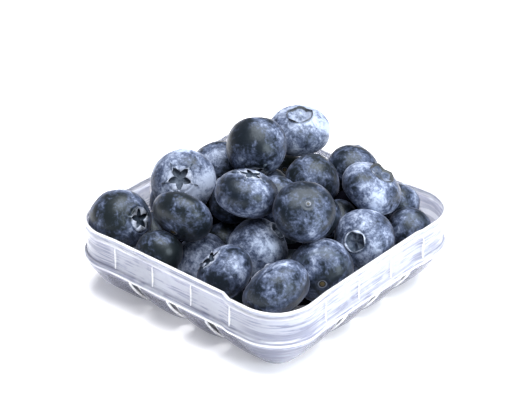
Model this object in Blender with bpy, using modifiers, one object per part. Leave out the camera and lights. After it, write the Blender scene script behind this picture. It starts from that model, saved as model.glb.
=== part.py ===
"""A clear, thermoformed punnet heaped with large blueberries.

Two pieces: the punnet, one clear shell with a lip, ribbed upper wall, stacking flange and a
fluted, slotted tub; and the berries, one heap that fills the tub and stands above its lip.
Metres, +Z up. The origin is the middle of the punnet's foot, on the surface it stands on,
and its sides run along X and Y.
"""
import math

import bmesh
import bpy
from mathutils import Vector

MM = 0.001

# Punnet: heights above the foot, and how far out each level stands from the middle of a side.
LIP_TOP = 26.0 * MM
LIP_BAND_TOP = 24.7 * MM
LIP_BAND_FOOT = 23.0 * MM
WALL_TOP = 22.5 * MM
WALL_FOOT = 15.1 * MM
FLANGE_TOP = 14.5 * MM
FLANGE_FOOT = 13.4 * MM
TUB_TOP = 13.0 * MM
SLOT_TOP = 11.8 * MM
SLOT_FOOT = 2.6 * MM
TUB_FOOT = 1.4 * MM
LIP_OUT = 45.3 * MM
WALL_OUT = 44.4 * MM
FLANGE_OUT = 45.5 * MM
TUB_OUT = 44.6 * MM
FOOT_OUT = 35.0 * MM
CORNER_RADIUS = 14.0 * MM
SHELL = 0.5 * MM

# What repeats along each side: four ribs and, under the flange, a flute below each rib with
# a slot in the valley between two flutes.
PITCH = 16.2 * MM
RIB_PLACES = (-1.5 * PITCH, -0.5 * PITCH, 0.5 * PITCH, 1.5 * PITCH)
SLOT_PLACES = (-PITCH, 0.0, PITCH)
RIB_HALF = 0.6 * MM
RIB_RISE = 0.5 * MM
SLOT_HALF = 2.0 * MM
FLUTE_RISE = 2.2 * MM

# The corners stand out from the sides, with a short step at the right-hand end of each side.
# At two opposite corners, the front right and the back left, the lip also steps down there.
STEP_START = 22.0 * MM
STEP_END = 24.0 * MM
LOW_CORNERS = (0, 2)
CORNER_DIP = 0.8 * MM
CORNER_STEPS = 5

# Berries: across the front (x), away from the front (y), height of the middle, and width, all
# in millimetres, then how flat the berry lies from 0 (as high as it is wide) to 1.
FRONT_AND_LEFT = (
    (-33.5, -33, 24.5, 18, 0),
    (-12.5, -36.5, 22.5, 13.5, 0.1),
    (-6.5, -23, 15.5, 17, 0),
    (12, -33.5, 23.5, 17.5, 0.4),
    (32, -32.5, 25, 19, 0),
    (-10.5, -28, 32.5, 18.5, 0.6),
    (-25.5, -11.5, 32.5, 20, 0),
    (-29, 10.5, 26, 20, 0),
    (-31.5, -20.5, 13.5, 15, 0),
    (-34, -1.5, 16, 17, 0.2),
    (-34, 16, 15, 17, 0),
)
MIDDLE = (
    (10, -15.5, 23, 18.5, 0),
    (4, -14, 40, 19.5, 1),
    (23.5, -9.5, 39, 18, 0.4),
    (3, 1, 30.5, 15.5, 0.2),
    (4.5, 17.5, 31, 17, 0),
    (-12, -6, 11, 16, 0),
    (-12.5, 17, 26.5, 16.5, 0),
    (-13, 2, 22, 17.5, 0),
    (10, 1, 17.5, 16, 0.3),
    (17, 15.5, 21.5, 13.5, 0.2),
)
RIGHT_AND_BACK = (
    (32.5, -11.5, 22.5, 19.5, 0),
    (33, 9, 24, 18.5, 0),
    (25, 22.5, 34, 19.5, 0.5),
    (35.5, 29, 19.5, 15, 0),
    (25.5, 35.5, 22, 15, 0),
    (7, 34.5, 29, 17, 0),
    (-6, 34, 17.5, 17, 0),
    (-13.5, 33, 37.5, 20.5, 0.8),
    (-14, 11.5, 40, 19.5, 0),
    (-31, 31, 22, 17.5, 0.2),
    (-16.5, 31, 20, 14, 0),
    (22.5, 32, 9.5, 13.5, 0),
    (23.5, -22, 11.5, 17.5, 0),
    (10, 29, 14.5, 17, 0),
)
BERRIES = FRONT_AND_LEFT + MIDDLE + RIGHT_AND_BACK

# The heap below and between the berries: how far out it reaches at each height (mm).
HEAP_BODY = ((1.5, 32.6), (4.5, 34.6), (12.6, 41.0), (17.0, 40.6), (21.0, 34.0), (26.0, 24.0), (29.0, 14.0))
HEAP_CORNER_SHARE = 0.34
BERRY_FLATNESS = 0.72
SKIN_STEP = 1.5 * MM
SKIN_SHARE = 0.128


def clear_scene():
    for old in list(bpy.data.objects):
        bpy.data.objects.remove(old)


def new_collection(name):
    collection = bpy.data.collections.new(name)
    bpy.context.scene.collection.children.link(collection)
    return collection


def new_material(name, colour, roughness, transmission=0.0):
    material = bpy.data.materials.new(name)
    material.use_nodes = True
    shader = material.node_tree.nodes["Principled BSDF"]
    shader.inputs["Base Color"].default_value = (*colour, 1.0)
    shader.inputs["Roughness"].default_value = roughness
    shader.inputs["Metallic"].default_value = 0.0
    shader.inputs["Transmission Weight"].default_value = transmission
    return material


def side_places(straight):
    """Places along one side where its shape changes, left to right as seen from outside."""
    places = [-straight, straight]
    for rib in RIB_PLACES:
        places += [rib - RIB_HALF, rib, rib + RIB_HALF]
    for slot in SLOT_PLACES:
        places += [slot - SLOT_HALF, slot + SLOT_HALF]
    return sorted(places)


def near_rib(place):
    return any(abs(place - rib) < 0.1 * RIB_HALF for rib in RIB_PLACES)


def flute(place):
    """1 on the crest of a flute, 0 in the valley where the slots are, 1 round the corner."""
    if abs(place) >= RIB_PLACES[-1]:
        return 1.0
    nearest = min(abs(place - rib) for rib in RIB_PLACES)
    return 1.0 - (2.0 * nearest / PITCH) ** 2


def corner_share(place):
    """0 along a side and 1 at its corners, with a short step at its right-hand end."""
    if place >= 0.0:
        return min(1.0, max(0.0, (place - STEP_START) / (STEP_END - STEP_START)))
    return min(1.0, max(0.0, (-place - STEP_END) / (CORNER_RADIUS / 2)))


def turned(x, y, quarter):
    cosine, sine = ((1, 0), (0, 1), (-1, 0), (0, -1))[quarter]
    return x * cosine - y * sine, x * sine + y * cosine


def ring(height, out, radius, rib=0.0, fluting=0.0, dip=0.0, corner_out=0.0):
    """One level of the punnet: a square with round corners, from the front side anticlockwise."""
    points = []
    straight = out - radius
    for quarter in range(4):
        for place in side_places(straight):
            share = corner_share(place)
            stand = out + fluting * flute(place) + corner_out * share
            if near_rib(place):
                stand += rib
            x, y = turned(place, -stand, quarter)
            lower = dip * share if quarter in LOW_CORNERS and place > 0.0 else 0.0
            points.append((x, y, height - lower))
        for step in range(1, CORNER_STEPS):
            angle = -math.pi / 2 + step * (math.pi / 2) / CORNER_STEPS
            reach = radius + fluting + corner_out
            x, y = turned(
                straight + reach * math.cos(angle),
                -straight + reach * math.sin(angle),
                quarter,
            )
            lower = dip * min(1.0, 2.0 - 2.0 * step / CORNER_STEPS) if quarter in LOW_CORNERS else 0.0
            points.append((x, y, height - lower))
    return points


def add_ring(mesh, points):
    return [mesh.verts.new(point) for point in points]


def join_rings(mesh, upper, lower, open_cells=()):
    count = len(upper)
    for index in range(count):
        if index in open_cells:
            continue
        following = (index + 1) % count
        mesh.faces.new((upper[index], lower[index], lower[following], upper[following]))


def slot_cells():
    """The cells of a ring that lie between the two edges of a slot."""
    places = side_places(WALL_OUT - CORNER_RADIUS)
    per_side = len(places) + CORNER_STEPS - 1
    cells = set()
    for index, place in enumerate(places):
        if any(abs(place - (slot - SLOT_HALF)) < 0.1 * SLOT_HALF for slot in SLOT_PLACES):
            cells |= {index + per_side * quarter for quarter in range(4)}
    return cells


def tub_level(share):
    """Height, reach and corner radius at a share of the way down the tub, 0 at its top."""
    height = TUB_TOP + (TUB_FOOT - TUB_TOP) * share
    out = TUB_OUT + (FOOT_OUT - TUB_OUT) * share ** 1.25
    radius = CORNER_RADIUS - 5.0 * MM * share
    return height, out, radius


def flute_depth(share):
    """How deep the flutes are at a share of the way down the tub, as a share of their rise."""
    return min(1.0, 0.2 + 1.5 * share) - 0.2 * share


def add_punnet(collection):
    mesh = bmesh.new()
    corner = CORNER_RADIUS
    dip = CORNER_DIP
    levels = [
        ring(LIP_TOP, LIP_OUT - 1.3 * MM, corner - 1.3 * MM, dip=dip),
        ring(LIP_TOP, LIP_OUT - 0.2 * MM, corner, dip=dip, corner_out=0.2 * MM),
        ring(LIP_TOP - 0.3 * MM, LIP_OUT, corner, dip=dip, corner_out=0.3 * MM),
        ring(LIP_BAND_TOP, LIP_OUT, corner, dip=dip, corner_out=0.3 * MM),
        ring(LIP_BAND_TOP - 0.2 * MM, LIP_OUT - 0.4 * MM, corner, dip=dip, corner_out=0.6 * MM),
        ring(LIP_BAND_FOOT, LIP_OUT - 0.4 * MM, corner, dip=dip, corner_out=1.0 * MM),
        ring(WALL_TOP, WALL_OUT, corner, dip=0.5 * dip, corner_out=0.6 * MM),
        ring(WALL_TOP - 0.8 * MM, WALL_OUT, corner, rib=RIB_RISE, corner_out=0.5 * MM),
        ring(WALL_FOOT + 0.8 * MM, WALL_OUT, corner, rib=RIB_RISE, corner_out=0.5 * MM),
        ring(WALL_FOOT, WALL_OUT + 0.1 * MM, corner, rib=RIB_RISE, corner_out=0.5 * MM),
        ring(FLANGE_TOP, FLANGE_OUT, corner + 1.0 * MM, corner_out=0.5 * MM),
        ring(FLANGE_FOOT, FLANGE_OUT, corner + 1.0 * MM, corner_out=0.5 * MM),
        ring(TUB_TOP, TUB_OUT, corner, fluting=FLUTE_RISE * flute_depth(0.0)),
    ]
    slot_span = TUB_TOP - TUB_FOOT
    shares = [(TUB_TOP - SLOT_TOP) / slot_span, 0.4, (TUB_TOP - SLOT_FOOT) / slot_span, 1.0]
    for share in shares:
        height, out, radius = tub_level(share)
        levels.append(ring(height, out, radius, fluting=FLUTE_RISE * flute_depth(share)))
    height, out, radius = tub_level(1.0)
    levels.append(ring(0.0, out - 1.2 * MM, radius, fluting=0.5 * FLUTE_RISE))
    slot_from = len(levels) - len(shares) - 1
    slot_to = slot_from + 2
    cells = slot_cells()
    loops = [add_ring(mesh, level) for level in levels]
    for number in range(len(loops) - 1):
        in_slot = slot_from <= number < slot_to
        join_rings(mesh, loops[number], loops[number + 1], cells if in_slot else ())
    mesh.faces.new(list(reversed(loops[-1])))
    bmesh.ops.recalc_face_normals(mesh, faces=mesh.faces[:])
    data = bpy.data.meshes.new("punnet")
    mesh.to_mesh(data)
    mesh.free()
    punnet = bpy.data.objects.new("punnet", data)
    collection.objects.link(punnet)
    shell = punnet.modifiers.new("shell", "SOLIDIFY")
    shell.thickness = SHELL
    shell.offset = -1.0
    shell.use_quality_normals = True
    data.materials.append(new_material("clear_plastic", (0.86, 0.87, 0.94), 0.12, 0.9))
    return punnet


def add_heap_body(mesh):
    """The plain filling under the berries that show."""
    rings = []
    for height, out in HEAP_BODY:
        reach = out * MM
        radius = reach * HEAP_CORNER_SHARE
        rings.append(add_ring(mesh, ring(height * MM, reach, radius)))
    for number in range(len(rings) - 1):
        join_rings(mesh, rings[number + 1], rings[number])
    mesh.faces.new(rings[-1])
    mesh.faces.new(list(reversed(rings[0])))


def add_berry_lump(mesh, x, y, height, width, flat):
    made = bmesh.ops.create_icosphere(mesh, subdivisions=3, radius=0.5 * width * MM)
    low = 1.0 - (1.0 - BERRY_FLATNESS) * flat
    bmesh.ops.scale(mesh, vec=(1.0, 1.0, low), verts=made["verts"])
    bmesh.ops.translate(mesh, vec=Vector((x, y, height)) * MM, verts=made["verts"])


def outer_skin(mesh):
    """Takes away closed pockets inside the heap, which are skins of their own."""
    mesh.verts.ensure_lookup_table()
    left = set(mesh.verts)
    skins = []
    while left:
        start = left.pop()
        skin = {start}
        edge = [start]
        while edge:
            vert = edge.pop()
            for link in vert.link_edges:
                other = link.other_vert(vert)
                if other in left:
                    left.discard(other)
                    skin.add(other)
                    edge.append(other)
        skins.append(skin)
    skins.sort(key=len, reverse=True)
    for skin in skins[1:]:
        bmesh.ops.delete(mesh, geom=list(skin), context="VERTS")


def add_berries(collection):
    mesh = bmesh.new()
    add_heap_body(mesh)
    for berry in BERRIES:
        add_berry_lump(mesh, *berry)
    data = bpy.data.meshes.new("berries")
    mesh.to_mesh(data)
    mesh.free()
    rough = bpy.data.objects.new("berries", data)
    collection.objects.link(rough)
    skin = rough.modifiers.new("skin", "REMESH")
    skin.mode = "VOXEL"
    skin.voxel_size = SKIN_STEP
    thin = rough.modifiers.new("thin", "DECIMATE")
    thin.ratio = SKIN_SHARE
    bpy.context.view_layer.update()
    evaluated = rough.evaluated_get(bpy.context.evaluated_depsgraph_get())
    whole = bpy.data.meshes.new_from_object(evaluated)
    bpy.data.objects.remove(rough)
    mesh = bmesh.new()
    mesh.from_mesh(whole)
    outer_skin(mesh)
    mesh.to_mesh(whole)
    mesh.free()
    whole.materials.clear()
    whole.materials.append(new_material("berry_skin", (0.045, 0.055, 0.12), 0.5))
    berries = bpy.data.objects.new("berries", whole)
    collection.objects.link(berries)
    whole.shade_smooth()
    return berries


def main():
    clear_scene()
    collection = new_collection("blueberry_punnet")
    add_punnet(collection)
    add_berries(collection)


main()
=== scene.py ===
import math
import random

import bmesh
import bpy
from mathutils import Matrix, Vector


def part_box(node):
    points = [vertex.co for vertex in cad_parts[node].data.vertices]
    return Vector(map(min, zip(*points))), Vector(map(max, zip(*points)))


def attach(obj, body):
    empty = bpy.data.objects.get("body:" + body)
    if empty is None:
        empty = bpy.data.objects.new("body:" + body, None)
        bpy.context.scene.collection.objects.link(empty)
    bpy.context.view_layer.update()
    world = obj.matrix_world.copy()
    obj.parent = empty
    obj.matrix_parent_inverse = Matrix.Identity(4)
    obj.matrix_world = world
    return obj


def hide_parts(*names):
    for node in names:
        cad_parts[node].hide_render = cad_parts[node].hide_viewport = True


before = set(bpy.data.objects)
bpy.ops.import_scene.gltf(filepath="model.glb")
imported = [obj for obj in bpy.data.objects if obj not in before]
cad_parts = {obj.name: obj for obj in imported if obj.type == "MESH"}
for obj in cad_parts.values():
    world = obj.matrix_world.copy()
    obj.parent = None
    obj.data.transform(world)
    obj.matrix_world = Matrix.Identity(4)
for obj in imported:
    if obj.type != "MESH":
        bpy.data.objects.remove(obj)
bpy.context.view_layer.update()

# ---------------------------------------------------------------------------------------------
# The punnet. One sheet of thin, clear plastic, drawn hot over a mould: a rolled lip, an upper
# wall stiffened by ribs, a flange that the lid and the next punnet sit on, and below it a
# fluted tub with air slots in the valleys between its flutes.
MM = 0.001
PUNNET_LOW, PUNNET_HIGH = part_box("punnet")
FLANGE_REACH = 1.6
WALL_OUT = PUNNET_HIGH.x / MM - FLANGE_REACH
LIP_TOP = PUNNET_HIGH.z / MM
SHEET = 0.5
PITCH = 16.2
CELL = PITCH / 16
STRAIGHT_CELLS = 30
CORNER_CELLS = 7
CORNER_CENTRE = WALL_OUT - 13.3
RIBS = (-1.5 * PITCH, -0.5 * PITCH, 0.5 * PITCH, 1.5 * PITCH)
SLOTS = (-PITCH, 0.0, PITCH)

# The section through a side: how far out from the middle of the punnet, how far up (mm), and
# how much light or shade is painted on the sheet there, from -1 (a painted dark line of shade) to 1 (a painted
# white highlight).
LIP_ROWS = (
    (WALL_OUT - 0.45, LIP_TOP - 0.30, 0.2),
    (WALL_OUT - 0.10, LIP_TOP - 0.06, 0.6),
    (WALL_OUT + 0.40, LIP_TOP, 1.0),
    (WALL_OUT + 0.72, LIP_TOP - 0.10, 0.5),
    (WALL_OUT + 0.86, LIP_TOP - 0.34, 0.1),
    (WALL_OUT + 0.86, LIP_TOP - 0.80, 0.0),
    (WALL_OUT + 0.70, LIP_TOP - 1.02, -0.4),
    (WALL_OUT + 0.48, LIP_TOP - 1.16, -0.7),
    (WALL_OUT + 0.42, LIP_TOP - 1.45, -0.2),
    (WALL_OUT + 0.50, LIP_TOP - 1.80, 0.3),
    (WALL_OUT + 0.52, LIP_TOP - 2.65, 0.35),
    (WALL_OUT + 0.40, LIP_TOP - 2.95, 0.3),
    (WALL_OUT + 0.12, LIP_TOP - 3.15, -0.3),
)
WALL_ROWS = (
    (WALL_OUT, LIP_TOP - 3.45, -0.8),
    (WALL_OUT - 0.03, LIP_TOP - 3.95, -0.6),
    (WALL_OUT - 0.06, LIP_TOP - 6.20, 0.0),
    (WALL_OUT - 0.04, LIP_TOP - 8.60, 0.0),
    (WALL_OUT, LIP_TOP - 10.10, -0.3),
    (WALL_OUT + 0.05, LIP_TOP - 10.60, -0.8),
)
FLANGE_ROWS = (
    (WALL_OUT + 0.22, LIP_TOP - 10.88, 0.0),
    (WALL_OUT + 0.55, LIP_TOP - 11.02, 0.3),
    (WALL_OUT + 0.80, LIP_TOP - 11.22, 0.2),
    (WALL_OUT + 0.84, LIP_TOP - 11.45, -0.3),
    (WALL_OUT + 0.95, LIP_TOP - 11.65, 0.0),
    (WALL_OUT + 1.08, LIP_TOP - 11.92, 0.5),
    (WALL_OUT + 1.10, LIP_TOP - 12.40, 0.8),
    (WALL_OUT + 0.98, LIP_TOP - 12.70, 0.3),
    (WALL_OUT + 0.60, LIP_TOP - 12.86, -0.5),
)
TUB_TOP_OUT = WALL_OUT + 0.2
TUB_FOOT_OUT = WALL_OUT - 9.4
TUB_TOP = 13.0
TUB_FOOT = 1.4
TUB_STEPS = 12
TUB_CURVE = 1.25
TUB_ROWS = tuple(
    (
        TUB_TOP_OUT + (TUB_FOOT_OUT - TUB_TOP_OUT) * (step / TUB_STEPS) ** TUB_CURVE,
        TUB_TOP + (TUB_FOOT - TUB_TOP) * step / TUB_STEPS,
        -0.5 if step == 0 else 0.0,
    )
    for step in range(TUB_STEPS + 1)
)
FOOT_ROWS = (
    (TUB_FOOT_OUT - 0.45, 0.75, 0.3),
    (TUB_FOOT_OUT - 1.0, 0.28, 0.6),
    (TUB_FOOT_OUT - 1.7, 0.04, 0.3),
    (TUB_FOOT_OUT - 2.6, 0.0, 0.0),
)
SECTION = LIP_ROWS + WALL_ROWS + FLANGE_ROWS + TUB_ROWS + FOOT_ROWS
LIP_END = len(LIP_ROWS)
WALL_END = LIP_END + len(WALL_ROWS)
FLANGE_END = WALL_END + len(FLANGE_ROWS)
TUB_END = FLANGE_END + len(TUB_ROWS)
HALF_CELLS = STRAIGHT_CELLS + CORNER_CELLS


def start_editing(piece):
    bpy.ops.object.select_all(action="DESELECT")
    piece.select_set(True)
    bpy.context.view_layer.objects.active = piece
    bpy.ops.object.mode_set(mode="EDIT")
    bpy.ops.mesh.select_all(action="DESELECT")


def pick(piece, kind, wanted):
    """Selects the vertices or faces (kind "verts" or "faces") that wanted says yes to."""
    bpy.ops.mesh.select_all(action="DESELECT")
    mesh = bmesh.from_edit_mesh(piece.data)
    for part in getattr(mesh, kind):
        part.select_set(bool(wanted(part)))
    if kind == "verts":
        mesh.select_flush(True)
    bmesh.update_edit_mesh(piece.data)


def move(x=0.0, y=0.0, z=0.0):
    bpy.ops.transform.translate(value=(x * MM, y * MM, z * MM))


def brush(piece, mark, value):
    """Gives the selected points a value that a material reads."""
    mesh = bmesh.from_edit_mesh(piece.data)
    layer = mesh.verts.layers.float[mark]
    for vert in mesh.verts:
        if vert.select:
            vert[layer] = value
    bmesh.update_edit_mesh(piece.data)


def column_of(vert):
    return vert.index % (2 * HALF_CELLS + 1) - HALF_CELLS


def row_of(vert):
    return vert.index // (2 * HALF_CELLS + 1)


# One side is shaped flat, from the middle of one corner to the middle of the next.
bpy.ops.mesh.primitive_grid_add(
    x_subdivisions=2 * HALF_CELLS,
    y_subdivisions=len(SECTION) - 1,
    size=1.0,
    location=(0.0, 0.0, 0.0),
)
punnet = bpy.context.object
punnet.name = "punnet_sheet"
punnet.data.name = "punnet_sheet"
punnet.scale = (2 * HALF_CELLS * CELL * MM, MM, 1.0)
bpy.ops.object.transform_apply(location=False, rotation=False, scale=True)
punnet.data.attributes.new("glint", "FLOAT", "POINT")
start_editing(punnet)
row_step = 1.0 / (len(SECTION) - 1)
for row, (out, up, glint) in enumerate(SECTION):
    pick(punnet, "verts", lambda vert: row_of(vert) == row)
    move(y=-out + 0.5 - row * row_step, z=up)
    brush(punnet, "glint", glint)

# Ribs stand out of the wall, narrower than a cell on either side.
for side in (-1, 1):
    cells = [round(rib / CELL) + side for rib in RIBS]
    pick(punnet, "verts", lambda vert: LIP_END <= row_of(vert) < WALL_END and column_of(vert) in cells)
    move(x=-0.45 * side * CELL)
# The crests stand out, and get a painted white highlight.
for row, rise in enumerate((0.10, 0.40, 0.50, 0.50, 0.50, 0.45)):
    cells = [round(rib / CELL) for rib in RIBS]
    pick(punnet, "verts", lambda vert: row_of(vert) == LIP_END + row and column_of(vert) in cells)
    move(y=-rise)
    brush(punnet, "glint", 1.0)

# Flutes: round crests under the ribs, deeper further down, and a flat crest round each corner.
FLUTE = 2.2
FLUTE_CELLS = 8


def cells_from_crest(vert):
    column = column_of(vert)
    if abs(column) > RIBS[-1] / CELL:
        return 0
    return min(abs(column - round(rib / CELL)) for rib in RIBS)


for cells in range(FLUTE_CELLS):
    rise = FLUTE * (1.0 - (cells / FLUTE_CELLS) ** 2)
    for step, share in enumerate((0.2, 0.12, 0.12, 0.11, 0.11, 0.10, 0.10, 0.06, 0.04)):
        pick(
            punnet,
            "verts",
            lambda vert: FLANGE_END + step <= row_of(vert) < TUB_END and cells_from_crest(vert) == cells,
        )
        move(y=-rise * share)

# Round the corners the wall stands out from the sides. It starts with a short step at the
# right-hand end of a side, and slowly at the left-hand end.
CORNER_STAND = 0.6
STEP_CELLS = ((22, 0.25), (23, 0.45), (24, 0.30))
EASE_CELLS = tuple((-cells, 1.0 / 7) for cells in range(25, 32))
for cell, share in STEP_CELLS + EASE_CELLS:
    pick(
        punnet,
        "verts",
        lambda vert: row_of(vert) < FLANGE_END
        and (column_of(vert) >= cell if cell > 0 else column_of(vert) <= cell),
    )
    move(y=-CORNER_STAND * share)

# Under the flange each corner has a low lug.
for cell in (27, 28, 29):
    pick(
        punnet,
        "verts",
        lambda vert: FLANGE_END <= row_of(vert) < FLANGE_END + 3 and abs(column_of(vert)) >= cell,
    )
    move(y=-0.15)

# The slots are cut out of the valleys.
SLOT_TOP = 12.1
SLOT_FOOT = 2.6
SLOT_CELLS = 2


def in_slot(face):
    middle = face.calc_center_median() / MM
    beside = min(abs(middle.x - slot) for slot in SLOTS)
    return beside < SLOT_CELLS * CELL and SLOT_FOOT < middle.z < SLOT_TOP


bpy.ops.mesh.select_mode(type="FACE")
pick(punnet, "faces", in_slot)
slot_faces = [face.index for face in bmesh.from_edit_mesh(punnet.data).faces if face.select]
bpy.ops.mesh.select_mode(type="VERT")

# The edges of the slots get a painted white highlight.
pick(
    punnet,
    "verts",
    lambda vert: SLOT_FOOT - 1.1 < vert.co.z / MM < SLOT_TOP + 1.1
    and FLANGE_END <= row_of(vert) < TUB_END
    and min(abs(column_of(vert) - round(slot / CELL)) for slot in SLOTS) == SLOT_CELLS,
)
brush(punnet, "glint", 1.0)

# The ends are bent round the corners, a cell at a time, from the outside in.
CORNER_TURN = math.radians(45.0) / CORNER_CELLS
for end in (-1, 1):
    pick(punnet, "verts", lambda vert: end * column_of(vert) >= STRAIGHT_CELLS)
    move(x=end * (CORNER_CENTRE - STRAIGHT_CELLS * CELL))
    for cell in range(CORNER_CELLS, 0, -1):
        pick(punnet, "verts", lambda vert: end * column_of(vert) >= STRAIGHT_CELLS + cell)
        move(x=-end * CELL)
        hinge = end * (CORNER_CENTRE + (cell - 1) * CELL) * MM
        mesh = bmesh.from_edit_mesh(punnet.data)
        bmesh.ops.rotate(
            mesh,
            cent=(hinge, -CORNER_CENTRE * MM, 0.0),
            matrix=Matrix.Rotation(end * CORNER_TURN, 3, "Z"),
            verts=[vert for vert in mesh.verts if vert.select],
        )
        bmesh.update_edit_mesh(punnet.data)

bpy.ops.mesh.select_mode(type="FACE")
pick(punnet, "faces", lambda face: face.index in slot_faces)
bpy.ops.mesh.delete(type="FACE")

# Four such sides make the punnet, and the foot closes it.
bpy.ops.mesh.select_mode(type="VERT")
bpy.ops.mesh.select_all(action="SELECT")
bpy.ops.mesh.spin(
    steps=3,
    dupli=True,
    angle=math.radians(270.0),
    center=(0.0, 0.0, 0.0),
    axis=(0.0, 0.0, 1.0),
)
bpy.ops.mesh.select_all(action="SELECT")
bpy.ops.mesh.remove_doubles(threshold=0.00005)
# At two opposite corners the lip also steps down, and rises again round the corner.
CORNER_DIP = 0.8
DIP_FROM = 21.5 * CELL
FADE_STEPS = 7
for side in (-1, 1):
    for cell in range(3):
        start = (DIP_FROM + cell * CELL) * MM
        pick(
            punnet,
            "verts",
            lambda vert: vert.co.z > (LIP_TOP - 3.3) * MM and side * vert.co.x > start and side * vert.co.y < -0.03,
        )
        move(z=-CORNER_DIP / 3)
    for step in range(FADE_STEPS):
        fade = math.radians(-45.0 + 45.0 * (step + 0.5) / FADE_STEPS)

        def faded(vert):
            across = side * vert.co.x - CORNER_CENTRE * MM
            along = side * vert.co.y + CORNER_CENTRE * MM
            high = vert.co.z > (LIP_TOP - 3.3 - CORNER_DIP) * MM and side * vert.co.y < -0.03
            return high and across > 0.0 and math.atan2(along, across) > fade

        pick(punnet, "verts", faded)
        move(z=CORNER_DIP / FADE_STEPS)

# The foot is drawn in from the bottom of the tub and closed, with its middle a little raised.
bpy.ops.mesh.select_mode(type="EDGE")
mesh = bmesh.from_edit_mesh(punnet.data)
for edge in mesh.edges:
    edge.select_set(edge.is_boundary and max(vert.co.z for vert in edge.verts) < 0.00001)
bmesh.update_edit_mesh(punnet.data)
for narrower, rise in ((0.90, 0.0), (0.96, 0.5), (0.97, 0.3)):
    bpy.ops.mesh.extrude_region_move()
    bpy.ops.transform.resize(value=(narrower, narrower, 1.0), center_override=(0.0, 0.0, 0.0))
    move(z=rise)
bpy.ops.mesh.edge_face_add()
bpy.ops.mesh.select_mode(type="VERT")
bpy.ops.mesh.select_all(action="SELECT")
bpy.ops.mesh.normals_make_consistent(inside=False)
bpy.ops.object.mode_set(mode="OBJECT")
sheet = punnet.modifiers.new("sheet", "SOLIDIFY")
sheet.thickness = SHEET * MM
sheet.offset = -1.0
sheet.use_quality_normals = True
bpy.ops.object.modifier_apply(modifier=sheet.name)
bpy.ops.object.shade_smooth_by_angle(angle=math.radians(40.0))


class Wire:
    """The output of a shader node. Arithmetic on it adds Math nodes to its material."""

    def __init__(self, finish, socket):
        self.finish = finish
        self.socket = socket

    def sum_of(self, operation, *values):
        return self.finish.node("ShaderNodeMath", {"operation": operation}, dict(enumerate(values)))

    def __add__(self, other):
        return self.sum_of("ADD", self, other)

    __radd__ = __add__

    def __sub__(self, other):
        return self.sum_of("SUBTRACT", self, other)

    def __rsub__(self, other):
        return self.sum_of("SUBTRACT", other, self)

    def __mul__(self, other):
        return self.sum_of("MULTIPLY", self, other)

    __rmul__ = __mul__

    def __truediv__(self, other):
        return self.sum_of("DIVIDE", self, other)

    def __pow__(self, other):
        return self.sum_of("POWER", self, other)


class Finish:
    """A material made from nodes, with one Principled shader."""

    def __init__(self, name):
        self.material = bpy.data.materials.new(name)
        self.material.use_nodes = True
        self.tree = self.material.node_tree
        self.shader = self.tree.nodes["Principled BSDF"]
        self.surface = self.tree.nodes["Material Output"].inputs["Surface"]

    def node(self, kind, settings, inputs, out=0):
        """A node of that kind. Its settings come first, then the values or wires of its sockets."""
        made = self.tree.nodes.new(kind)
        for key, value in settings.items():
            if key == "stops":
                ramp = made.color_ramp
                while len(ramp.elements) < len(value):
                    ramp.elements.new(1.0)
                for element, (place, colour) in zip(ramp.elements, value):
                    element.position = place
                    element.color = colour if len(colour) == 4 else (*colour, 1.0)
            else:
                setattr(made, key, value)
        self.put(made, inputs)
        return Wire(self, made.outputs[out])

    def put(self, made, inputs):
        for key, value in inputs.items():
            if isinstance(value, Wire):
                self.tree.links.new(value.socket, made.inputs[key])
            elif isinstance(value, tuple) and len(value) == 3 and len(made.inputs[key].default_value) == 4:
                made.inputs[key].default_value = (*value, 1.0)
            else:
                made.inputs[key].default_value = value

    def place(self):
        return self.node("ShaderNodeTexCoord", {}, {}, "Object")

    def noise(self, scale, detail=3.0, roughness=0.5, distortion=0.0, vector=None, out=0):
        inputs = {
            "Vector": vector or self.place(),
            "Scale": scale,
            "Detail": detail,
            "Roughness": roughness,
            "Distortion": distortion,
        }
        return self.node("ShaderNodeTexNoise", {}, inputs, out)

    def ramp(self, value, low, high):
        """0 below low, 1 above high, and smooth between them."""
        settings = {"interpolation_type": "SMOOTHSTEP"}
        inputs = {"Value": value, "From Min": low, "From Max": high}
        return self.node("ShaderNodeMapRange", settings, inputs)

    def mix(self, share, first, second):
        """Two colours mixed."""
        return self.node("ShaderNodeMix", {"data_type": "RGBA"}, {0: share, 6: first, 7: second}, 2)

    def bump(self, height, strength, distance):
        inputs = {"Height": height, "Strength": strength, "Distance": distance}
        return self.node("ShaderNodeBump", {}, inputs)


plastic = Finish("clear_plastic")
x, y, z = (plastic.node("ShaderNodeSeparateXYZ", {}, {0: plastic.place()}, axis) for axis in range(3))
glint = plastic.node("ShaderNodeAttribute", {"attribute_name": "glint"}, {}, "Fac")
level = plastic.node("ShaderNodeCombineXYZ", {}, {0: x * 0.05, 1: y * 0.05, 2: z})
streaks = plastic.noise(1600.0, 3.0, 0.6, vector=level)
layers = plastic.noise(700.0, 2.0, 0.5, vector=level)
haze_and_refraction = plastic.noise(95.0, 3.0, 0.55)
sides = [plastic.node("ShaderNodeMath", {"operation": "ABSOLUTE"}, {0: axis}) for axis in (x, y)]
round_corner = plastic.ramp(sides[0], 0.026, 0.034) * plastic.ramp(sides[1], 0.026, 0.034)
in_tub = plastic.ramp(z * -1.0, -0.0135, -0.0115)
# The sheet's own tint, varying at random; the mixes below add painted light and shade to it.
tint_and_painted_light = plastic.mix(haze_and_refraction, (0.38, 0.40, 0.50), (0.49, 0.515, 0.60))
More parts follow.
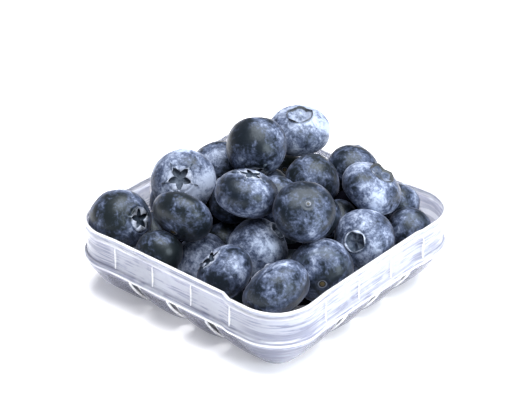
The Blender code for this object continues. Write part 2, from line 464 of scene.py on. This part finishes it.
# Painted refraction: dark streaks and patches where the berries behind the wall show through it.
painted_refraction = plastic.ramp(streaks, 0.45, 0.60) * plastic.ramp(haze_and_refraction, 0.62, 0.46)
tint_and_painted_light = plastic.mix(painted_refraction * 0.75, tint_and_painted_light, (0.13, 0.14, 0.23))
tint_and_painted_light = plastic.mix(plastic.ramp(haze_and_refraction, 0.55, 0.68) * 0.4, tint_and_painted_light, (0.28, 0.30, 0.41))
# Painted shade in thin lines on the rounded corners.
tint_and_painted_light = plastic.mix(plastic.ramp(layers, 0.46, 0.60) * round_corner * 0.8, tint_and_painted_light, (0.20, 0.21, 0.29))
# Painted shade: the tub under the flange is darker, less so round the corners.
tint_and_painted_light = plastic.mix(in_tub * (0.92 - 0.80 * round_corner), tint_and_painted_light, (0.07, 0.072, 0.115))
# Painted shade along the dark lines of glint, and a painted white highlight along its white edges, broken by the
# streaks.
tint_and_painted_light = plastic.mix(plastic.ramp(glint * -1.0, 0.15, 1.0) * 0.7, tint_and_painted_light, (0.24, 0.25, 0.33))
painted_highlight = plastic.ramp(glint, 0.0, 0.9) * (1.0 - 0.35 * plastic.ramp(streaks, 0.46, 0.62))
tint_and_painted_light = plastic.mix(painted_highlight, tint_and_painted_light, (0.82, 0.83, 0.87))
solid = plastic.ramp(plastic.node("ShaderNodeMath", {"operation": "ABSOLUTE"}, {0: glint}), 0.0, 0.8)
plastic.put(
    plastic.shader,
    {
        "Base Color": tint_and_painted_light,
        "Roughness": 0.14 + 0.14 * haze_and_refraction,
        "IOR": 1.5,
        "Subsurface Weight": 1.0,
        "Subsurface Radius": (1.0, 1.0, 1.0),
        "Subsurface Scale": 0.003,
        "Alpha": 0.78 - 0.30 * in_tub + solid * (0.20 + 0.24 * in_tub),
        "Normal": plastic.bump(streaks, 0.12, 0.0003),
    },
)
punnet.data.materials.clear()
punnet.data.materials.append(plastic.material)
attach(punnet, "root")
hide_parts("punnet")

# ---------------------------------------------------------------------------------------------
# The berries. Fresh highbush blueberries, poured in loose: firm flattened balls with a crown
# at one end, where the flower sat, and a small scar at the other. Three of them are modelled,
# one for each way that a crown dries, and all the others are copies of those.
EQUATOR = 10.0
HALF_HEIGHT = 8.4
AROUND = 40
POLE_STEP = 7.5
LOBES = 5
LOBE_COLUMNS = AROUND // LOBES
LOBE_SHARE = (0.0, 0.34, 0.64, 0.86, 1.0)
SCAR_REACH = 2.7
MARKS = ("cup", "dry", "scar", "bloom", "warm")

# From the skin in to the middle of the crown: reach and rise at the notches between the lobes,
# reach and rise at the tips of the lobes (mm), how much painted shade the hollow gets, and how dry.
FOLDED_CROWN = (
    (4.50, 0.00, 4.50, 0.00, 0.0, 0.0),
    (4.25, -0.24, 4.25, -0.24, 0.35, 0.0),
    (4.05, 0.00, 4.05, 0.00, 0.0, -0.2),
    (3.80, 0.14, 3.75, 0.16, 0.0, -0.4),
    (3.55, 0.16, 2.70, 0.28, 0.0, -0.6),
    (3.40, 0.10, 1.85, 0.08, 0.0, -0.8),
    (3.40, -0.10, 2.05, -0.20, 0.7, 0.0),
    (3.30, -0.70, 3.00, -0.70, 0.9, 0.0),
    (2.50, -1.15, 2.50, -1.15, 0.8, 0.0),
    (1.10, -1.25, 1.10, -1.25, 0.8, 0.2),
    (0.40, -1.05, 0.40, -1.05, 0.8, 0.4),
)
OPEN_CROWN = (
    (4.15, 0.00, 4.15, 0.00, 0.1, 0.0),
    (3.85, -0.25, 3.85, -0.25, 0.55, 0.0),
    (3.66, 0.02, 3.66, 0.08, 0.0, -0.4),
    (3.50, 0.24, 3.38, 0.60, 0.0, -0.8),
    (3.32, 0.16, 2.96, 0.50, 0.1, -0.6),
    (3.08, -0.40, 3.08, -0.40, 0.9, 0.1),
    (2.70, -0.95, 2.70, -0.95, 0.8, 0.0),
    (1.70, -1.20, 1.70, -1.20, 0.5, 0.0),
    (0.75, -1.10, 0.75, -1.10, 0.6, 0.3),
    (0.35, -0.85, 0.35, -0.85, 1.0, 0.6),
)
STANDING_CROWN = (
    (4.55, 0.00, 4.55, 0.00, 0.0, 0.0),
    (4.30, -0.16, 4.30, -0.16, 0.35, -0.2),
    (4.15, 0.16, 4.15, 0.20, 0.0, 0.6),
    (4.05, 0.36, 4.30, 0.92, 0.0, 0.9),
    (3.90, 0.32, 4.12, 0.86, 0.0, 1.0),
    (3.78, -0.25, 3.76, -0.20, 0.2, 0.9),
    (3.10, -0.80, 3.10, -0.80, 0.25, -0.3),
    (1.85, -1.05, 1.85, -1.05, 0.15, -0.3),
    (0.75, -1.05, 0.75, -1.05, 0.3, 0.2),
    (0.35, -0.80, 0.35, -0.80, 0.6, 0.6),
)


def lobe_share(vert):
    column = round(math.degrees(math.atan2(vert.co.y, vert.co.x)) * AROUND / 360.0) % LOBE_COLUMNS
    return min(column, LOBE_COLUMNS - column)


def set_ring(berry, reach, height):
    """Sets the selected ring of points to a reach from the axis and a height."""
    ring = [vert.co for vert in bmesh.from_edit_mesh(berry.data).verts if vert.select]
    wider = reach * MM * len(ring) / sum(point.xy.length for point in ring)
    bpy.ops.transform.resize(value=(wider, wider, 1.0), center_override=(0.0, 0.0, 0.0))
    move(z=height - sum(point.z for point in ring) / len(ring) / MM)


def mark_ring(berry, cup, dry):
    mesh = bmesh.from_edit_mesh(berry.data)
    for vert in mesh.verts:
        if vert.select:
            vert[mesh.verts.layers.float["cup"]] = cup
            vert[mesh.verts.layers.float["dry"]] = dry
    bmesh.update_edit_mesh(berry.data)


def new_berry(name, crown, ragged):
    bpy.ops.mesh.primitive_uv_sphere_add(
        segments=AROUND,
        ring_count=round(180.0 / POLE_STEP),
        radius=EQUATOR * MM,
        location=(0.0, 0.0, 0.0),
    )
    berry = bpy.context.object
    berry.name = name
    berry.data.name = name
    for mark in MARKS:
        berry.data.attributes.new(mark, "FLOAT", "POINT")
    start_editing(berry)
    bpy.ops.mesh.select_all(action="SELECT")
    bpy.ops.transform.resize(value=(1.0, 1.0, HALF_HEIGHT / EQUATOR), center_override=(0.0, 0.0, 0.0))

    # The shoulders are a little square.
    for side in (-1, 1):
        for low, high, wider in ((0.25, 0.9, 1.012), (0.45, 0.85, 1.015), (0.6, 0.85, 1.008)):
            pick(berry, "verts", lambda vert: low < side * vert.co.z / (HALF_HEIGHT * MM) < high)
            bpy.ops.transform.resize(value=(wider, wider, 1.01), center_override=(0.0, 0.0, 0.0))

    # The crown grows from a ring of skin, one ring of points after another.
    rim = HALF_HEIGHT * math.cos(math.radians(3.0 * POLE_STEP)) * MM
    pick(berry, "verts", lambda vert: vert.co.z > rim + 0.2 * MM)
    bpy.ops.mesh.delete(type="VERT")
    mesh = bmesh.from_edit_mesh(berry.data)
    bpy.ops.mesh.select_mode(type="EDGE")
    for edge in mesh.edges:
        edge.select_set(edge.is_boundary)
    bmesh.update_edit_mesh(berry.data)
    bpy.ops.mesh.select_mode(type="VERT")
    chance = random.Random(name)
    long_lobes = [chance.uniform(1.0 - ragged, 1.0 + 0.5 * ragged) for lobe in range(LOBES)]
    for step, (reach, rise, tip_reach, tip_rise, cup, dry) in enumerate(crown):
        if step > 0:
            bpy.ops.mesh.extrude_region_move()
        set_ring(berry, reach, HALF_HEIGHT * 0.935 + rise)
        mark_ring(berry, cup, dry)
        if (tip_reach, tip_rise) == (reach, rise):
            continue
        mesh = bmesh.from_edit_mesh(berry.data)
        mesh.verts.index_update()
        ring = {vert.index for vert in mesh.verts if vert.select}
        for lobe in range(LOBES):
            for column in range(1, LOBE_COLUMNS // 2 + 1):
                pick(
                    berry,
                    "verts",
                    lambda vert: vert.index in ring
                    and lobe_share(vert) == column
                    and int(math.degrees(math.atan2(vert.co.y, vert.co.x)) % 360.0 // (360.0 / LOBES)) == lobe,
                )
                share = LOBE_SHARE[column] * long_lobes[lobe]
                wider = 1.0 + (tip_reach / reach - 1.0) * share
                bpy.ops.transform.resize(value=(wider, wider, 1.0), center_override=(0.0, 0.0, 0.0))
                move(z=(tip_rise - rise) * share)
        pick(berry, "verts", lambda vert: vert.index in ring)
    bpy.ops.mesh.merge(type="CENTER")

    # The scar of the stalk: a dimple with a raised edge.
    pick(berry, "faces", lambda face: face.calc_center_median().xy.length < 2.6 * MM and face.normal.z < -0.9)
    bpy.ops.mesh.inset(thickness=0.7 * MM, depth=0.0)
    move(z=-0.10)
    bpy.ops.mesh.inset(thickness=0.35 * MM, depth=0.0)
    move(z=0.35)
    bpy.ops.mesh.select_all(action="SELECT")
    bpy.ops.mesh.normals_make_consistent(inside=False)
    mesh = bmesh.from_edit_mesh(berry.data)
    for vert in mesh.verts:
        if vert.co.z < -0.8 * HALF_HEIGHT * MM:
            vert[mesh.verts.layers.float["scar"]] = max(0.0, 1.0 - vert.co.xy.length / (SCAR_REACH * MM))
    bmesh.update_edit_mesh(berry.data)
    bpy.ops.object.mode_set(mode="OBJECT")
    bpy.ops.object.shade_smooth()
    return berry


masters = {
    "folded": new_berry("berry_folded", FOLDED_CROWN, 0.22),
    "open": new_berry("berry_open", OPEN_CROWN, 0.7),
    "standing": new_berry("berry_standing", STANDING_CROWN, 0.35),
}

# Every berry that shows: its crown, the place of its middle, its width and its height (mm);
# which way the crown points (turned from +X, tilted from upright), the spin about its own axis;
# how much bloom it has and how warm it is.
TOP_BERRIES = (
    ("folded", (-33.5, -33.0, 24.5), 20.0, 19.0, (5, 70), 20, 0.35, 0.4),
    ("folded", (-25.5, -11.5, 32.5), 21.0, 18.0, (-55, 55), 0, 0.9, 0.0),
    ("folded", (-10.5, -28.0, 32.5), 19.5, 12.5, (100, 60), 30, 0.15, 0.3),
    ("open", (-12.5, -36.5, 22.5), 15.0, 13.0, (-85, 125), 10, 0.0, 0.4),
    ("open", (-6.5, -23.0, 15.5), 17.5, 16.5, (-165, 110), 0, 0.9, 0.0),
    ("folded", (12.0, -33.5, 23.5), 18.5, 14.0, (-140, 40), 50, 0.5, 0.0),
    ("open", (32.0, -32.5, 25.0), 21.5, 15.0, (-180, 55), 10, 0.45, 0.0),
    ("open", (10.0, -15.5, 23.0), 19.0, 18.0, (50, 45), 0, 0.85, 0.0),
    ("open", (32.5, -11.5, 22.5), 20.0, 19.0, (130, 95), 0, 0.45, 0.1),
    ("open", (33.0, 9.0, 24.0), 19.5, 17.5, (-75, 65), 0, 0.55, 0.0),
    ("open", (23.5, -9.5, 39.0), 19.5, 13.5, (145, 140), 0, 0.35, 0.0),
    ("folded", (4.0, -14.0, 40.0), 20.0, 14.0, (75, 15), 0, 0.5, 0.0),
    ("open", (-29.0, 10.5, 26.0), 21.0, 18.5, (125, 60), 0, 0.5, 0.1),
    ("folded", (-14.0, 11.5, 40.0), 20.0, 19.0, (-50, 130), 0, 0.25, 0.1),
    ("standing", (-13.5, 33.0, 37.5), 21.0, 14.0, (-50, 10), 0, 0.9, 0.0),
    ("folded", (3.5, 19.0, 30.0), 18.0, 17.0, (130, 90), 0, 0.3, 0.4),
    ("open", (7.0, 35.5, 28.5), 17.5, 16.5, (105, 60), 0, 0.3, 0.0),
    ("standing", (25.0, 22.5, 34.0), 20.5, 13.0, (40, 30), 0, 0.6, 0.1),
    ("open", (25.5, 36.0, 22.0), 15.5, 14.5, (100, 55), 0, 0.4, 0.1),
    ("folded", (36.0, 29.0, 19.5), 15.0, 14.5, (110, 60), 0, 0.4, 0.1),
)
LOWER_BERRIES = (
    ("open", (3.0, 1.0, 30.5), 16.0, 15.0, (0, 105), 0, 0.5, 0.2),
    ("folded", (-31.5, -20.5, 13.5), 15.5, 14.5, (-110, 60), 0, 0.3, 0.4),
    ("folded", (-12.0, -6.0, 11.0), 17.0, 16.0, (100, 95), 0, 0.2, 0.4),
    ("open", (17.0, 15.5, 21.5), 14.5, 11.0, (90, 135), 0, 0.4, 0.2),
    ("open", (22.5, 32.5, 8.5), 14.5, 13.5, (-45, 75), 0, 0.45, 0.2),
    ("open", (-16.5, 31.0, 20.0), 14.5, 13.5, (115, 135), 0, 0.15, 1.0),
)

# The berries that the others hide start in rows, and are jostled until they lie side by side.
chance = random.Random(11)


def buried_berry(x, y, z, width):
    kind = chance.choice(("folded", "open", "standing"))
    crown = (chance.uniform(0, 360), chance.uniform(0, 180))
    # A buried berry gets little bloom, which makes it darker: painted shade deep in the heap.
    return (kind, (x, y, z), width, width * chance.uniform(0.86, 0.92), crown, 0, chance.uniform(0.1, 0.3), 0.2)


BURIED_BERRIES = [
    buried_berry(-29.5 + 19.6 * column, -29.5 + 19.6 * row, 8.2, chance.uniform(14.8, 16.2))
    for row in range(4)
    for column in range(4)
    if row + column > 0
]
BURIED_BERRIES += [
    buried_berry(*place)
    for place in (
        (-34.0, -1.5, 17.0, 16.6),
        (-34.0, 15.0, 16.5, 16.6),
        (-12.5, 17.0, 27.0, 16.5),
        (-13.0, 2.0, 23.0, 17.0),
        (-6.0, 35.0, 19.0, 16.8),
        (-33.0, 34.0, 17.5, 17.0),
        (11.0, 3.0, 21.0, 16.0),
        (-17.0, 28.0, 20.0, 16.5),
        (0.0, -36.5, 13.0, 15.4),
        (17.0, 3.0, 27.0, 15.0),
        (16.0, 28.0, 18.0, 14.0),
    )
]
SEEN = TOP_BERRIES + LOWER_BERRIES
middles = [Vector(berry[1]) for berry in SEEN] + [Vector(berry[1]) for berry in BURIED_BERRIES]
reaches = [(berry[2] + 0.5 * berry[3]) / 3.0 for berry in SEEN] + [
    (berry[2] + 0.5 * berry[3]) / 3.0 for berry in BURIED_BERRIES
]
FOOT_CLEAR = 2.1
WALL_CLEAR = 1.8
for turn in range(120):
    for one in range(len(SEEN), len(middles)):
        for other in range(len(middles)):
            apart = middles[one] - middles[other]
            lacking = reaches[one] + reaches[other] - apart.length
            if one != other and lacking > 0.0:
                middles[one] += apart.normalized() * lacking * 0.4
        middle = middles[one]
        middle.z = min(max(middle.z, reaches[one] + FOOT_CLEAR), 30.0)
        narrowing = max(0.0, (TUB_TOP - middle.z + 0.6 * reaches[one]) / (TUB_TOP - TUB_FOOT)) ** 1.25
        wall = TUB_TOP_OUT - WALL_CLEAR + (TUB_FOOT_OUT - TUB_TOP_OUT) * min(1.0, narrowing) - reaches[one]
        middle.x = min(max(middle.x, -wall), wall)
        middle.y = min(max(middle.y, -wall), wall)


def has_room(one):
    return one < len(SEEN) or all(
        reaches[one] + reaches[other] - (middles[one] - middles[other]).length < 1.5 for other in range(one)
    )


ALL_BERRIES = [
    (berry[0], tuple(middles[one]), *berry[2:])
    for one, berry in enumerate(SEEN + tuple(BURIED_BERRIES))
    if has_room(one)
]

# Creases, where a berry has grown against its neighbour, with painted shade along them: how far from the scar
# (degrees).
CREASES = {8: 60.0, 19: 105.0}
SMALL_SCARS = {10: 0.76}
copies = []
for number, (kind, middle, width, tall, (turn, tilt), spin, bloom, warm) in enumerate(ALL_BERRIES):
    bpy.ops.object.select_all(action="DESELECT")
    master = masters[kind]
    master.select_set(True)
    bpy.context.view_layer.objects.active = master
    bpy.ops.object.duplicate(linked=False)
    berry = bpy.context.object
    marks = berry.data.attributes
    for mark, value in (("bloom", bloom), ("warm", warm)):
        for item in marks[mark].data:
            item.value = value
    for item in marks["scar"].data:
        item.value *= SMALL_SCARS.get(number, 1.0)
    if number in CREASES:
        crease = -math.cos(math.radians(CREASES[number])) * HALF_HEIGHT * MM
        start_editing(berry)
        pick(berry, "verts", lambda vert: abs(vert.co.z - crease) < 0.45 * MM)
        bpy.ops.transform.resize(value=(0.972, 0.972, 1.0), center_override=(0.0, 0.0, 0.0))
        # The crease gets painted shade.
        brush(berry, "cup", 0.75)
        bpy.ops.object.mode_set(mode="OBJECT")
    wide = 0.5 * width / EQUATOR
    berry.matrix_world = (
        Matrix.Translation(Vector(middle) * MM)
        @ Matrix.Rotation(math.radians(turn), 4, "Z")
        @ Matrix.Rotation(math.radians(tilt), 4, "Y")
        @ Matrix.Rotation(math.radians(spin), 4, "Z")
        @ Matrix.Diagonal((wide, wide, 0.5 * tall / HALF_HEIGHT, 1.0))
    )
    copies.append(berry)

bpy.ops.object.select_all(action="DESELECT")
for master in masters.values():
    master.select_set(True)
bpy.ops.object.delete()
bpy.ops.object.select_all(action="DESELECT")
for berry in copies:
    berry.select_set(True)
bpy.context.view_layer.objects.active = copies[0]
bpy.ops.object.transform_apply(location=True, rotation=True, scale=True)
bpy.ops.object.join()
berries = bpy.context.object
berries.name = "blueberries"
berries.data.name = "blueberries"

# No berry is quite round.
lumps = bpy.data.textures.new("lumps", "CLOUDS")
lumps.noise_scale = 0.011
uneven = berries.modifiers.new("uneven", "DISPLACE")
uneven.texture = lumps
uneven.texture_coords = "LOCAL"
uneven.strength = 1.3 * MM
uneven.mid_level = 0.5
bpy.ops.object.modifier_apply(modifier=uneven.name)


def mark_wire(finish, name):
    return finish.node("ShaderNodeAttribute", {"attribute_name": name}, {}, "Fac")


skin = Finish("blueberry_skin")
cup = mark_wire(skin, "cup")
dry = mark_wire(skin, "dry")
scar = mark_wire(skin, "scar")
bloom = mark_wire(skin, "bloom")
warm = mark_wire(skin, "warm")
cloud = skin.noise(110.0, 2.0, 0.5, 0.3)
rubbed = skin.noise(330.0, 4.0, 0.62, 0.7)
grain = skin.noise(1150.0, 3.0, 0.65, 0.3)
cover = cloud * 1.6 + rubbed * 1.3 + grain * 0.9 - 1.9 + bloom * 0.8
amount = skin.ramp(cover, 0.06, 0.62)
dark = skin.mix(warm, (0.004, 0.007, 0.012), (0.010, 0.013, 0.010))
colour = skin.mix(amount, dark, (0.064, 0.083, 0.142))
colour = skin.mix(skin.ramp(cover, 0.42, 1.02), colour, (0.31, 0.36, 0.475))
# Painted shade in the hollows: the crown's cup, the groove round it and the creases.
colour = skin.mix(cup, colour, (0.030, 0.042, 0.060))
colour = skin.mix(skin.ramp(dry, 0.3, 1.0) * 0.9, colour, (0.030, 0.030, 0.026))
colour = skin.mix(skin.ramp(rubbed * 1.6 - 0.8 - dry, 0.2, 1.0) * 0.75, colour, (0.42, 0.46, 0.55))
colour = skin.mix(skin.ramp(scar, 0.06, 0.30) * 0.5, colour, (0.020, 0.026, 0.040))
colour = skin.mix(skin.ramp(scar + rubbed * 0.5 - 0.25, 0.44, 0.56) * 0.55, colour, (0.30, 0.32, 0.38))
colour = skin.mix(skin.ramp(scar, 0.58, 0.64), colour, (0.012, 0.012, 0.010))
colour = skin.mix(skin.ramp(scar, 0.68, 0.78) * 0.8, colour, (0.10, 0.075, 0.03))
pitted = skin.noise(900.0, 3.0, 0.6)
skin.put(
    skin.shader,
    {
        "Base Color": colour,
        "Roughness": 0.36 + 0.14 * amount,
        "IOR": 1.40,
        "Specular IOR Level": 0.42,
        "Specular Tint": (0.80, 0.90, 1.0),
        "Sheen Weight": 0.10,
        "Sheen Roughness": 0.28,
        "Sheen Tint": (0.78, 0.79, 1.0),
        "Normal": skin.bump(rubbed * 0.6 + pitted * 0.5, 0.35, 0.0004),
    },
)
berries.data.materials.clear()
berries.data.materials.append(skin.material)
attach(berries, "root")
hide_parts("berries")


# ---------------------------------------------------------------------------------------------
# The core: the buried middle of the heap, where no berry can be seen, a near-black lump of painted shade between
# the berries.
CORE_LUMPS = (
    ((0.0, 0.0, 8.0), 30.0, 6.0),
    ((-4.0, 8.0, 14.0), 18.0, 7.0),
    ((12.0, 14.0, 11.0), 16.0, 6.0),
    ((6.0, -10.0, 11.0), 14.0, 6.0),
    ((-18.0, -8.0, 10.0), 13.0, 6.0),
    ((-22.0, -1.0, 19.0), 10.0, 7.0),
    ((15.0, 24.0, 20.0), 10.0, 7.0),
)
lumps_made = []
for middle, reach, rise in CORE_LUMPS:
    bpy.ops.mesh.primitive_ico_sphere_add(subdivisions=3, radius=1.0, location=Vector(middle) * MM)
    lump = bpy.context.object
    lump.scale = (reach * MM, reach * MM, rise * MM)
    lumps_made.append(lump)
bpy.ops.object.select_all(action="DESELECT")
for lump in lumps_made:
    lump.select_set(True)
bpy.context.view_layer.objects.active = lumps_made[0]
bpy.ops.object.join()
core = bpy.context.object
core.name = "heap_core"
core.data.name = "heap_core"
bpy.ops.object.transform_apply(location=True, rotation=True, scale=True)
melt = core.modifiers.new("melt", "REMESH")
melt.mode = "VOXEL"
melt.voxel_size = 1.5 * MM
bpy.ops.object.modifier_apply(modifier=melt.name)
dents = core.modifiers.new("dents", "DISPLACE")
dents.texture = lumps
dents.texture_coords = "LOCAL"
dents.strength = 3.0 * MM
bpy.ops.object.modifier_apply(modifier=dents.name)
bpy.ops.object.shade_smooth()
shade = Finish("heap_shade")
shade.put(
    shade.shader,
    {
        # Near-black: painted shade deep in the heap.
        "Base Color": shade.mix(shade.noise(200.0, 3.0), (0.001, 0.001, 0.002), (0.003, 0.003, 0.005)),
        "Roughness": 0.8,
        "Specular IOR Level": 0.0,
    },
)
core.data.materials.clear()
core.data.materials.append(shade.material)
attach(core, "root")

# ---------------------------------------------------------------------------------------------
# The table: a plain white studio floor, under one tall soft light to the right, a wide soft
# light overhead and a pale surround, with the camera as high as someone sitting at the table.
FLOOR_WIDTH = 3.0
FLOOR_GAP = 0.0002
bpy.ops.object.select_all(action="DESELECT")
bpy.ops.mesh.primitive_grid_add(
    x_subdivisions=6,
    y_subdivisions=6,
    size=FLOOR_WIDTH,
    location=(0.0, 0.0, -FLOOR_GAP),
)
floor = bpy.context.object
floor.name = "floor"
floor.data.name = "floor"
paper = Finish("white_paper")
paper.put(
    paper.shader,
    {
        "Base Color": paper.mix(paper.noise(6.0, 2.0), (0.93, 0.93, 0.95), (0.95, 0.95, 0.97)),
        "Roughness": 0.7,
        "Specular IOR Level": 0.2,
        "Emission Color": (0.92, 0.93, 1.0),
        "Emission Strength": 0.20,
    },
)
floor.data.materials.append(paper.material)

surround = bpy.data.worlds.new("surround")
bpy.context.scene.world = surround
surround.use_nodes = True
surround.node_tree.nodes["Background"].inputs["Color"].default_value = (0.90, 0.92, 1.0, 1.0)
surround.node_tree.nodes["Background"].inputs["Strength"].default_value = 0.30

CAMERA_RIGHT = Vector((0.7559, 0.6547, 0.0))
CAMERA_BACK = Vector((0.5670, -0.6546, 0.5000))
CAMERA_UP = CAMERA_BACK.cross(CAMERA_RIGHT)
CAMERA_AWAY = 0.54


def soft_light(name, way, away, width, tall, energy, colour):
    bpy.ops.object.light_add(type="AREA", location=way.normalized() * away)
    lamp = bpy.context.object
    lamp.name = name
    lamp.rotation_euler = way.to_track_quat("Z", "Y").to_euler()
    lamp.data.shape = "RECTANGLE"
    lamp.data.size = width
    lamp.data.size_y = tall
    lamp.data.energy = energy
    lamp.data.color = colour


soft_light("key_light", 0.70 * CAMERA_RIGHT + 0.71 * CAMERA_BACK, 0.75, 0.22, 0.36, 4.5, (0.92, 0.98, 1.0))
soft_light("top_light", Vector((0.15, 0.1, 1.0)), 0.9, 0.9, 0.9, 25.0, (1.0, 1.0, 1.0))

aim = Vector((0.0, 0.0, LIP_TOP * MM)) - 3.2 * MM * CAMERA_RIGHT + 3.5 * MM * CAMERA_UP
bpy.ops.object.camera_add(location=aim + CAMERA_AWAY * CAMERA_BACK)
camera = bpy.context.object
camera.name = "camera"
camera.rotation_euler = CAMERA_BACK.to_track_quat("Z", "Y").to_euler()
camera.data.lens = 117.8
camera.data.sensor_width = 36.0
camera.data.clip_start = 0.01
bpy.context.scene.camera = camera
bpy.context.scene.view_settings.view_transform = "Standard"
